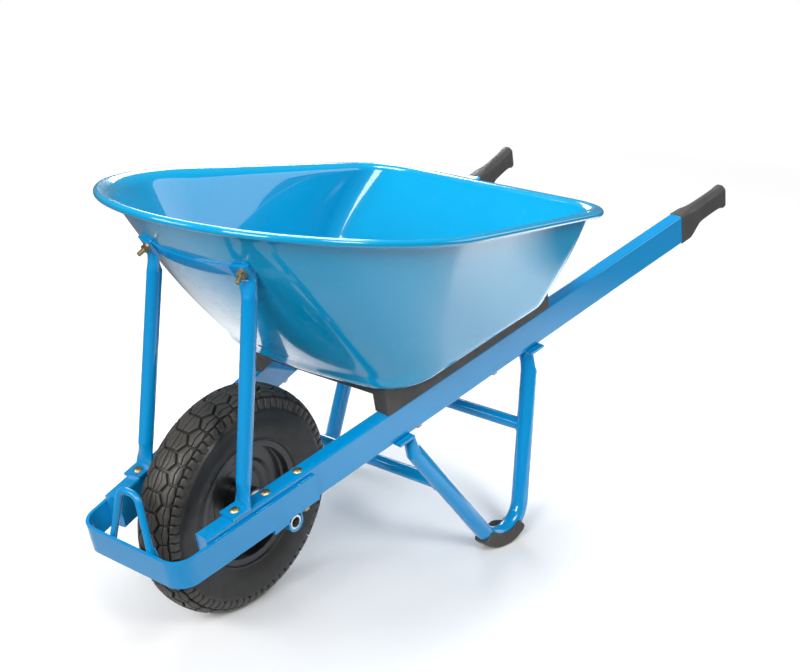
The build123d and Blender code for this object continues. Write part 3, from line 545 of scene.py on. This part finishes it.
# ---- Tray ----------------------------------------------------------------
SHEET = 0.0015
FLOOR_RISE = 0.062 + 0.0325 * math.cos(SLOPE)
FLOOR_Z = RAIL_DROP + FLOOR_RISE / math.cos(SLOPE)
RIM_Z = 0.702 - TYRE_RADIUS - SHEET / 2
FLOOR_TILT = -math.tan(SLOPE)
RIM_TILT = math.tan(math.radians(7.9))
LIP = 0.019
BEAD = 0.0063
FLOOR_FLARE = 1.25
FLARE_LEVEL = 0.955
FLARE_SPAN = 0.045
FLARE_LIFT = 0.00725
FLARE_ANGLES = (15, 30, 45, 60, 75, 90)
FLOOR_SHARES = (0.15, 0.35, 0.55, 0.75, 0.9, 0.97)
WALL_LEVELS = (
    0.0, 0.006, 0.013, 0.022, 0.032, 0.044, 0.06, 0.08, 0.1, 0.125, 0.15, 0.175, 0.2,
    0.24, 0.3, 0.38, 0.46, 0.54, 0.62, 0.7, 0.78, 0.86, 0.92, 0.955,
)
# points round the nose, the front corner, the side, the rear corner and half the back
OUTLINE_STEPS = (14, 30, 24, 22, 12)
# front, nose half width, nose arc, corner half width, side taper, back, rear corner radius
KEYS = ("front", "nose", "arc", "corner", "taper", "rear", "rear_corner")
# level from floor to rim, and the outline's measures there in metres and degrees
PAN = (
    (0.0, (-0.266, 0.136, 5.2, 0.018, -6.1, -0.538, 0.020)),
    (0.06, (-0.190, 0.146, 7.0, 0.061, -5.5, -0.589, 0.060)),
    (0.2, (-0.137, 0.135, 8.8, 0.110, -3.8, -0.614, 0.092)),
    (1.0, (0.142, 0.195, 40.0, 0.119, 5.7, -0.724, 0.088)),
)


def pan_shape(level):
    """Outline measures at one level: a smooth floor radius, then straight walls."""
    levels = [row[0] for row in PAN]
    gaps = range(len(PAN) - 1)
    k = max(i for i in gaps if level >= levels[i])
    span = levels[k + 1] - levels[k]
    h = (level - levels[k]) / span
    shape = {}
    for j, key in enumerate(KEYS):
        values = [row[1][j] for row in PAN]
        slopes = [(values[i + 1] - values[i]) / (levels[i + 1] - levels[i]) for i in gaps]
        tangents = [slopes[0] * FLOOR_FLARE, (slopes[0] + slopes[1]) / 2, slopes[2], slopes[2]]
        shape[key] = (
            (2 * h**3 - 3 * h**2 + 1) * values[k]
            + (h**3 - 2 * h**2 + h) * span * tangents[k]
            + (3 * h**2 - 2 * h**3) * values[k + 1]
            + (h**3 - h**2) * span * tangents[k + 1]
        )
    return shape


def arc_points(centre, radius, start, end, count):
    """Points of an arc from one angle up to, but not at, another."""
    angles = [start + (end - start) * k / count for k in range(count)]
    return [(centre[0] + radius * math.cos(a), centre[1] + radius * math.sin(a)) for a in angles]


def pan_outline(shape, inset):
    """Closed loop of points of one level, always the same number of them."""
    nose_steps, corner_steps, side_steps, rear_steps, back_steps = OUTLINE_STEPS
    arc = math.radians(shape["arc"])
    turn = math.radians(90 + shape["taper"])
    nose = shape["nose"] / math.sin(arc) - inset
    corner = shape["corner"] / (math.sin(turn) - math.sin(arc)) - inset
    rear = shape["rear_corner"] - inset
    front = shape["front"] - inset
    centre = (front - nose, 0.0)
    points = arc_points(centre, nose, 0.0, arc, nose_steps)
    join = (centre[0] + (nose - corner) * math.cos(arc), (nose - corner) * math.sin(arc))
    points += arc_points(join, corner, arc, turn, corner_steps)
    side = (join[0] + corner * math.cos(turn), join[1] + corner * math.sin(turn))
    back = shape["rear"] + inset
    reach = side[0] - back - rear * (1 - math.sin(turn - math.pi / 2))
    run = reach / math.cos(turn - math.pi / 2)
    way = (math.cos(turn + math.pi / 2), math.sin(turn + math.pi / 2))
    points += [(side[0] + way[0] * run * k / side_steps, side[1] + way[1] * run * k / side_steps)
               for k in range(side_steps)]
    end = (side[0] + way[0] * run, side[1] + way[1] * run)
    heart = (end[0] - rear * math.cos(turn), end[1] - rear * math.sin(turn))
    points += arc_points(heart, rear, turn, math.pi, rear_steps)
    points += [(back, heart[1] * (1 - k / back_steps)) for k in range(back_steps + 1)]
    mirrored = [(x, -y) for x, y in reversed(points[1:-1])]
    return points + mirrored


def pan_loop(level, inset, lift, shrink=1.0):
    """The tray's outline at one level, moved inwards, lifted and shrunk about its middle."""
    tilt = (1 - level) * FLOOR_TILT + level * RIM_TILT
    height = (1 - level) * FLOOR_Z + level * RIM_Z
    along = Vector((1, 0, tilt)).normalized()
    normal = Vector((-tilt, 0, 1)).normalized()
    outline = pan_outline(pan_shape(level), inset)
    middle = sum(p[0] for p in outline) / len(outline)
    origin = AXLE + Vector((0, 0, height)) + normal * lift
    return [
        origin + along * (middle + (x - middle) * shrink) + LEFT * (y * shrink) for x, y in outline
    ]


def make_tray():
    """Pressed shell: up the inside, out over the flare, round the bead and down the outside."""
    rows = [pan_loop(0.0, SHEET, SHEET, share) for share in FLOOR_SHARES]
    rows += [pan_loop(t, SHEET, SHEET * (1 - t)) for t in WALL_LEVELS]
    flare = []
    for turn in FLARE_ANGLES:
        a = math.radians(turn)
        level = FLARE_LEVEL + FLARE_SPAN * math.sin(a)
        flare.append((level, LIP * (1 - math.cos(a)), FLARE_LIFT * math.sin(a)))
    rows += [pan_loop(t, SHEET * (1 - out / LIP) - out, lift) for t, out, lift in flare]
    for a in range(18, 288, 18):
        curl = math.radians(a)
        rows.append(pan_loop(1.0, -LIP - BEAD * math.sin(curl), SHEET / 2 + BEAD * math.cos(curl)))
    for t, out, lift in reversed(flare[:4]):
        rows.append(pan_loop(t, -out, lift - SHEET))
    rows += [pan_loop(t, 0.0, 0.0) for t in reversed(WALL_LEVELS)]
    rows += [pan_loop(0.0, 0.0, 0.0, share) for share in reversed(FLOOR_SHARES)]
    columns = len(rows[0])
    verts = [p for row in rows for p in row]
    faces = grid_faces(len(rows), columns, close_columns=True) + end_caps(len(rows), columns)
    tray = piece("tray_pan", verts, faces, TRAY_BLUE, "frame")
    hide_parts("tray")


make_tray()

# ---- Grips ---------------------------------------------------------------
GRIP_START = rail_point(-1.077)
GRIP_EDGE = 32
# distance from the rail's end, half width, top, bottom, top chamfer, lower corner
GRIP_SECTIONS = (
    (0.0000, 0.0148, 0.0627, -0.0008, 0.0030, 0.0030),
    (0.0010, 0.0155, 0.0635, -0.0015, 0.0035, 0.0035),
    (0.0250, 0.0155, 0.0635, -0.0015, 0.0045, 0.0040),
    (0.0330, 0.0154, 0.0635, -0.0013, 0.0062, 0.0045),
    (0.0390, 0.0151, 0.0634, 0.0010, 0.0078, 0.0050),
    (0.0500, 0.0146, 0.0631, 0.0068, 0.0086, 0.0060),
    (0.0620, 0.0140, 0.0628, 0.0128, 0.0088, 0.0070),
    (0.0700, 0.0137, 0.0627, 0.0156, 0.0088, 0.0075),
    (0.0780, 0.0135, 0.0627, 0.0166, 0.0088, 0.0075),
    (0.1000, 0.0131, 0.0627, 0.0170, 0.0086, 0.0075),
    (0.1250, 0.0130, 0.0628, 0.0171, 0.0084, 0.0075),
    (0.1420, 0.0132, 0.0630, 0.0168, 0.0080, 0.0070),
    (0.1490, 0.0135, 0.0632, 0.0150, 0.0076, 0.0060),
    (0.1530, 0.0139, 0.0635, 0.0136, 0.0074, 0.0055),
    (0.1576, 0.0140, 0.0635, 0.0134, 0.0074, 0.0055),
    (0.1614, 0.0136, 0.0629, 0.0142, 0.0072, 0.0060),
    (0.1636, 0.0124, 0.0612, 0.0162, 0.0066, 0.0065),
    (0.1644, 0.0104, 0.0585, 0.0190, 0.0056, 0.0065),
)


def grip_loop(distance, half, top, bottom, chamfer, corner):
    """Section with flat chamfers above and round corners below."""
    soft = chamfer * 0.18
    loop = [(half - chamfer - soft, top), (half - chamfer + soft, top - soft * 1.2),
            (half - soft * 1.2, top - chamfer + soft), (half, top - chamfer - soft)]
    loop += [(half, top - chamfer - (top - chamfer - bottom - corner) * k / 6) for k in range(1, 6)]
    loop += [(half - corner * (1 - math.cos(a)), bottom + corner * (1 - math.sin(a)))
             for a in (math.pi / 2 * k / 6 for k in range(7))]
    loop += [((half - corner) * (1 - k / 3), bottom) for k in range(1, 4)]
    loop += [(-x, z) for x, z in reversed(loop[:-1])]
    centre = GRIP_START + BACK * distance
    return [centre + OUT * x + DECK_UP * z for x, z in loop]


def make_grips():
    """Moulded sleeves over the rails' ends that narrow to the handles."""
    rows = [grip_loop(*section) for section in GRIP_SECTIONS]
    columns = len(rows[0])
    verts = [p for row in rows for p in row]
    faces = grid_faces(len(rows), columns, close_columns=True) + end_caps(len(rows), columns)
    for obj in both_sides("grip_moulding", verts, faces, GRIP, "grip"):
        obj.data.set_sharp_from_angle(angle=math.radians(GRIP_EDGE))
        bevel(obj, 0.0005, GRIP_EDGE)


make_grips()

# ---- Legs' geometry and foot shoes ---------------------------------------
LEG_MIDDLE = -0.4243
LEG_HALF = 0.1737 / math.cos(SPLAY)
LEG_LEAN = math.radians(9.8)
LEG_APEX = 0.391
LEG_RADIUS = 0.016
LEG_BEND = 0.060
LEG_NORMAL = OUT * math.cos(LEG_LEAN) + DECK_UP * math.sin(LEG_LEAN)
LEG_UP = LEG_NORMAL.cross(BACK)
LEG_ORIGIN = rail_point(LEG_MIDDLE, 0.0, 0.008)
SHOE_REACH = math.radians(42)
SHOE_STEPS = 40
SHOE_FADE = 0.20
SHOE_SOLE = 0.0025
SHOE_SWELL = 0.0025
SHOE_GAP = 0.0010
SHOE_LIP = 0.0050
SHOE_WALL = 0.0140
SHOE_WALL_REACH = 0.7
SHOE_CORNER = 0.0065
SHOE_SIDE = 0.0075
# how far in and how high each point of a wall's rounded top is, from the side inwards
SHOE_TOP = ((0.0, 0.0024), (0.0008, 0.0006), (0.0022, 0.0))
SHOE_SEAT = 0.0004


def leg_point(along, depth, aside=0.0):
    """Point in the plane of the left leg: along the rail, down the leg, out of the plane."""
    return LEG_ORIGIN + BACK * along - LEG_UP * depth + LEG_NORMAL * aside


def shoe_profile(share):
    """Section of a foot shoe as (aside, outwards), with a taller wall inboard at mid length."""
    edge = max(0.0, abs(share) - (1 - SHOE_FADE)) / SHOE_FADE
    fade = math.sqrt(max(0.0, 1 - edge**2))
    half = LEG_RADIUS + SHOE_GAP + SHOE_SWELL * fade
    outer = LEG_RADIUS + SHOE_SOLE + SHOE_SWELL * fade
    lip = -SHOE_GAP - SHOE_LIP * fade
    inboard = lip - SHOE_WALL * max(0.0, 1 - (share / SHOE_WALL_REACH) ** 2)
    turns = [math.pi / 2 * j / 6 for j in range(1, 7)]
    under = [(half - SHOE_CORNER * (1 - math.cos(a)), outer - SHOE_CORNER * (1 - math.sin(a)))
             for a in turns]
    under.append((half * 0.3, outer))
    profile = [(half - inwards, lip + up) for inwards, up in reversed(SHOE_TOP)]
    profile += [(half, outer - SHOE_SIDE)] + under + [(0.0, outer)]
    profile += [(-x, r) for x, r in reversed(under)] + [(-half, outer - SHOE_SIDE)]
    profile += [(inwards - half, inboard + up) for inwards, up in SHOE_TOP]
    seat = [(-LEG_RADIUS * math.cos(a), LEG_RADIUS * math.sin(a))
            for a in (math.pi * j / 12 for j in range(13))]
    left, right = (seat[0][0], inboard + SHOE_SEAT), (seat[-1][0], lip + SHOE_SEAT)
    return profile + [left] + seat + [right]


def make_shoes():
    """Moulded shoes round the legs' lower bends."""
    half_angle = math.atan(LEG_HALF / LEG_APEX)
    centre = leg_point(0.0, LEG_APEX - LEG_BEND / math.sin(half_angle))
    down = (Vector((0, 0, -1)) + LEG_NORMAL * LEG_NORMAL.z).normalized()
    along = LEG_NORMAL.cross(down)
    rows = []
    for k in range(SHOE_STEPS + 1):
        share = 2 * k / SHOE_STEPS - 1
        angle = share * SHOE_REACH
        ray = down * math.cos(angle) + along * math.sin(angle)
        row = []
        for x, r in shoe_profile(share):
            point = centre + ray * (LEG_BEND + r) + LEG_NORMAL * x
            point.z = max(point.z, 0.0)
            row.append(point)
        rows.append(row)
    columns = len(rows[0])
    verts = [p for row in rows for p in row]
    faces = [tuple(reversed(f)) for f in grid_faces(len(rows), columns, close_columns=True)]
    # each end is closed by a strip of quads between its outer and its inner line
    for base in (0, (len(rows) - 1) * columns):
        for j in range(columns // 2 - 1):
            quad = (base + j, base + j + 1, base + columns - 2 - j, base + columns - 1 - j)
            faces.append(quad if base == 0 else tuple(reversed(quad)))
    both_sides("shoe_moulding", verts, faces, MOULDING, "foot_shoe")


make_shoes()

# ---- Weld beads ----------------------------------------------------------
WELD_SIDES = 8
WELD_STEP = 0.0011
WELD_FLATNESS = 0.62
RIPPLE_STEPS = 3.4
RING_STEPS = 32
BRACE_RADIUS = 0.0133
# half the rail's width, and the places of the welds as stations, heights and sides of the deck
RAIL_HALF = 0.014
RAIL_BASE = -0.0005
BAR_TOP = 0.0505
BAR_END = -0.0485
BAR_STITCHES = ((-0.044, -0.012), (0.040, 0.075), (0.128, 0.160))
PAD_ENDS = (0.030, -0.038)
PAD_EDGE = 0.013
TAB_STATIONS = (-0.2506, -0.598)
TAB_HALF = 0.018
TAB_EDGE = 0.0145
FINE_BEAD = 0.0016
RING_BEAD = 0.0021
WIDE_BEAD = 0.0022
WELDS = {"verts": [], "faces": []}


def weld_rows(points, radius, closed, up):
    """Rows of a weld bead along a line: overlapping ripples, lower than it is wide."""
    lengths = [(points[k + 1] - points[k]).length for k in range(len(points) - 1)]
    count = max(8, int(sum(lengths) / WELD_STEP))
    dense = []
    for k in range(count + 1):
        goal = sum(lengths) * k / count
        travelled = 0.0
        for i, step in enumerate(lengths):
            if travelled + step >= goal - 1e-9:
                dense.append(points[i].lerp(points[i + 1], (goal - travelled) / step))
                break
            travelled += step
    rows = []
    last = len(dense) - 1
    for k, centre in enumerate(dense):
        ahead = (dense[min(k + 1, last)] - dense[max(k - 1, 0)]).normalized()
        side = ahead.cross(up).normalized()
        lift = side.cross(ahead).normalized()
        ripple = 1 + 0.16 * math.sin(2 * math.pi * k / RIPPLE_STEPS) + 0.07 * noise.noise(centre * 300)
        ends = 1.0 if closed else min(1.0, 0.35 + min(k, last - k) / 3)
        size = radius * ripple * ends
        rows.append([centre + side * size * math.cos(a) + lift * size * WELD_FLATNESS * math.sin(a)
                     for a in (2 * math.pi * j / WELD_SIDES for j in range(WELD_SIDES))])
    return rows


def weld(points, radius, up, closed=False):
    """Adds a bead on the left and its mirror image. A closed bead ends where it starts."""
    for flip in (1, -1):
        line = [Vector((p.x, flip * p.y, p.z)) for p in points]
        rows = weld_rows(line, radius, closed, up)
        start = len(WELDS["verts"])
        WELDS["verts"] += [p for row in rows for p in row]
        WELDS["faces"] += grid_faces(len(rows), WELD_SIDES, close_columns=True, start=start)
        if not closed:
            last = start + (len(rows) - 1) * WELD_SIDES
            WELDS["faces"].append(tuple(range(start, start + WELD_SIDES)))
            WELDS["faces"].append(tuple(range(last, last + WELD_SIDES)))


def leg_side(depth):
    """How far the rear side of the leg's V is from its middle, at a depth."""
    return LEG_HALF * (1 - depth / LEG_APEX)


def brace_ring(brace, sign):
    """Closed line where a cross tube meets the inner side of the leg, behind or ahead."""
    low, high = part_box(brace)
    centre = (low + high) / 2
    foot = leg_point(sign * leg_side(0.0), 0.0)
    way = (leg_point(sign * leg_side(0.1), 0.1) - foot).normalized()
    line = []
    for k in range(RING_STEPS + 1):
        angle = 2 * math.pi * k / RING_STEPS
        reach = Vector((math.cos(angle), 0.0, math.sin(angle))) * BRACE_RADIUS
        start = Vector((centre.x, 0.0, centre.z)) + reach
        gap = start - foot
        u = LEFT - way * LEFT.dot(way)
        v = gap - way * gap.dot(way)
        a, b, c = u.dot(u), 2 * u.dot(v), v.dot(v) - LEG_RADIUS**2
        root = b * b - 4 * a * c
        if root >= 0:
            line.append(start + LEFT * ((-b - math.sqrt(root)) / (2 * a)))
    return line


def make_welds():
    """Every weld bead of the frame, as one piece."""
    # cross tubes to the legs
    for brace, sign in (("brace_rear", 1), ("brace_front", -1)):
        weld(brace_ring(brace, sign), RING_BEAD, LEFT, closed=True)
    # nose bar to rails: stitches along its top edge and down its ends
    for start, end in BAR_STITCHES:
        weld([rail_point(start, BAR_TOP, RAIL_HALF + WIDE_BEAD),
              rail_point(end, BAR_TOP, RAIL_HALF + WIDE_BEAD)], WIDE_BEAD, DECK_UP)
    weld([rail_point(BAR_END, 0.003, RAIL_HALF + 0.001), rail_point(BAR_END, 0.047, RAIL_HALF + 0.001)],
         WIDE_BEAD, OUT)
    # axle pads under the rails
    for edge in (-PAD_EDGE, PAD_EDGE):
        weld([rail_point(station, RAIL_BASE, edge) for station in PAD_ENDS], FINE_BEAD, DECK_UP)
    # leg tabs under the rails
    for station in TAB_STATIONS:
        for edge in (-TAB_EDGE, TAB_EDGE):
            weld([rail_point(station + TAB_HALF, RAIL_BASE, edge),
                  rail_point(station - TAB_HALF, RAIL_BASE, edge)], WIDE_BEAD, DECK_UP)
    # hoop feet on the nose bar
    low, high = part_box("nose_hoop")
    foot = Vector(((low.x + high.x) / 2, high.y - 0.006, low.z + 0.024))
    for turn in (-1, 1):
        weld([foot + Vector((-0.0055, turn * 0.0048, -0.012)),
              foot + Vector((-0.0035, turn * 0.0048 - 0.004, 0.004))], FINE_BEAD, LEFT)
    piece("weld_beads", WELDS["verts"], WELDS["faces"], BLUE, "frame")


make_welds()

# ---- CAD solids kept: softened edges -------------------------------------
# width of each node's bevel
KEPT_BEVELS = {
    "rail_left": 0.0006, "rail_right": 0.0006, "nose_bar": 0.0012,
    "axle_clamp_left": 0.0009, "axle_clamp_right": 0.0009,
    "axle_pad_left": 0.0008, "axle_pad_right": 0.0008,
    "stay_left": 0.0009, "stay_right": 0.0009, "stay_strap": 0.0010,
    "leg_left": 0.0009, "leg_right": 0.0009, "brace_front": 0.0009, "brace_rear": 0.0004,
    "tray_packer_left": 0.0012, "tray_packer_right": 0.0012, "packer_bridge": 0.001,
    "clamp_nuts": 0.0006, "stay_foot_nuts": 0.0006, "stay_top_nuts": 0.0006, "tray_nuts": 0.0006,
    "clamp_washers": 0.0003, "stay_foot_washers": 0.0003, "stay_top_washers": 0.0003,
    "tray_washers": 0.0003, "axle_tube": 0.0006, "hub": 0.001,
}
for node, width in KEPT_BEVELS.items():
    bevel(NODES[node], width)

# ---- Stage and lights ----------------------------------------------------
FLOOR_RADIUS = 6.0
FLOOR_POINTS = 96
WHITE = (1, 1, 1, 1)
# grey the floor shows near the object to reflections and bounced light: painted shade under and around the barrow
PAINTED_SHADE_GREY = (0.12, 0.12, 0.13, 1)
GLOW_FADE = (1.3, 3.4)
PAINTED_SHADE_CENTRE = (-0.3, 0.15, 0)
PAINTED_SHADE_FADE = (0.85, 1.35)
CARD_CENTRE = (-1.05, 0.38, 0)
CARD_FADE = (0.05, 0.6)
CARD_STRENGTH = 1.6


def make_stage():
    """Round sheet of pale paper that brightens outwards until it meets the backdrop.

    In reflections and bounced light the paper turns grey near the object, painted shade, with a soft bright card
    behind it."""
    angles = [math.tau * k / FLOOR_POINTS for k in range(FLOOR_POINTS)]
    rim = [(FLOOR_RADIUS * math.cos(a), FLOOR_RADIUS * math.sin(a), 0) for a in angles]
    mesh = bpy.data.meshes.new("floor")
    mesh.from_pydata(rim, [], [tuple(range(FLOOR_POINTS))])
    floor = bpy.data.objects.new("floor", mesh)
    bpy.context.scene.collection.objects.link(floor)
    paper = Shader("floor_paper", (0.88, 0.88, 0.88), 0.9, Specular_IOR_Level=0.1)
    paper.bump(paper.noise(60.0, 4.0), 0.0003, 0.1)
    tree = paper.tree

    def distance_from(place):
        """Distance of the shaded point from a place on the floor."""
        node = tree.nodes.new("ShaderNodeVectorMath")
        node.operation = "DISTANCE"
        node.inputs[1].default_value = place
        tree.links.new(paper.coords, node.inputs[0])
        return node.outputs["Value"]

    def mixed(fac, first, second):
        """Two shaders mixed by a mask."""
        node = tree.nodes.new("ShaderNodeMixShader")
        tree.links.new(fac, node.inputs["Fac"])
        tree.links.new(first, node.inputs[1])
        tree.links.new(second, node.inputs[2])
        return node.outputs["Shader"]

    plain = paper.bsdf.outputs["BSDF"]
    card = tree.nodes.new("ShaderNodeEmission")
    card.inputs["Color"].default_value = WHITE
    strength = paper.ramp(distance_from(CARD_CENTRE), *CARD_FADE, CARD_STRENGTH, 0.0)
    tree.links.new(strength, card.inputs["Strength"])
    lit = tree.nodes.new("ShaderNodeAddShader")
    tree.links.new(plain, lit.inputs[0])
    tree.links.new(card.outputs["Emission"], lit.inputs[1])
    glow = tree.nodes.new("ShaderNodeEmission")
    glow.inputs["Color"].default_value = WHITE
    # painted shade: the grey the paper shows near the object to reflections and bounced light
    painted_shade = tree.nodes.new("ShaderNodeBsdfDiffuse")
    painted_shade.inputs["Color"].default_value = PAINTED_SHADE_GREY
    path = tree.nodes.new("ShaderNodeLightPath")
    seen = mixed(paper.ramp(distance_from((0, 0, 0)), *GLOW_FADE), plain, glow.outputs["Emission"])
    reflected = mixed(paper.ramp(distance_from(PAINTED_SHADE_CENTRE), *PAINTED_SHADE_FADE),
                      lit.outputs["Shader"], painted_shade.outputs["BSDF"])
    final = mixed(path.outputs["Is Camera Ray"], reflected, seen)
    tree.links.new(final, tree.nodes["Material Output"].inputs["Surface"])
    mesh.materials.append(paper.material)


def area_light(name, location, target, size, power):
    """A soft box that is seen only in light and reflections."""
    data = bpy.data.lights.new(name, "AREA")
    data.shape = "RECTANGLE"
    data.size, data.size_y = size
    data.energy = power
    light = bpy.data.objects.new(name, data)
    bpy.context.scene.collection.objects.link(light)
    light.location = location
    aim = Vector(target) - Vector(location)
    light.rotation_euler = aim.to_track_quat("-Z", "Y").to_euler()
    light.visible_camera = False


def make_lights():
    """Soft boxes light the object; the world only fills and gives the plain backdrop."""
    world = bpy.data.worlds.new("studio")
    world.use_nodes = True
    tree = world.node_tree
    background = tree.nodes["Background"]
    background.inputs["Color"].default_value = (0.93, 0.96, 1.0, 1)
    background.inputs["Strength"].default_value = 0.16
    backdrop = tree.nodes.new("ShaderNodeBackground")
    backdrop.inputs["Color"].default_value = WHITE
    path = tree.nodes.new("ShaderNodeLightPath")
    mix = tree.nodes.new("ShaderNodeMixShader")
    tree.links.new(path.outputs["Is Camera Ray"], mix.inputs["Fac"])
    tree.links.new(background.outputs["Background"], mix.inputs[1])
    tree.links.new(backdrop.outputs["Background"], mix.inputs[2])
    tree.links.new(mix.outputs["Shader"], tree.nodes["World Output"].inputs["Surface"])
    bpy.context.scene.world = world
    area_light("key", (1.0, 2.7, 2.9), (0.0, 0.0, 0.4), (1.0, 1.6), 66)
    area_light("front", (3.3, 0.9, 2.1), (0.1, 0.0, 0.4), (1.4, 1.5), 88)
    area_light("side", (3.2, -1.6, 1.9), (0.1, 0.0, 0.4), (1.4, 1.3), 56)
    area_light("top", (-0.7, -0.5, 3.6), (-0.1, 0.0, 0.4), (1.9, 1.1), 105)
    area_light("back", (-2.9, 2.1, 1.5), (0.0, 0.0, 0.4), (2.4, 1.5), 26)
    area_light("rear", (-2.4, -2.6, 2.0), (0.0, 0.0, 0.4), (1.4, 1.3), 50)


make_stage()
make_lights()
bpy.context.scene.view_settings.view_transform = "Standard"


def write_sizes():
    import json


write_sizes()
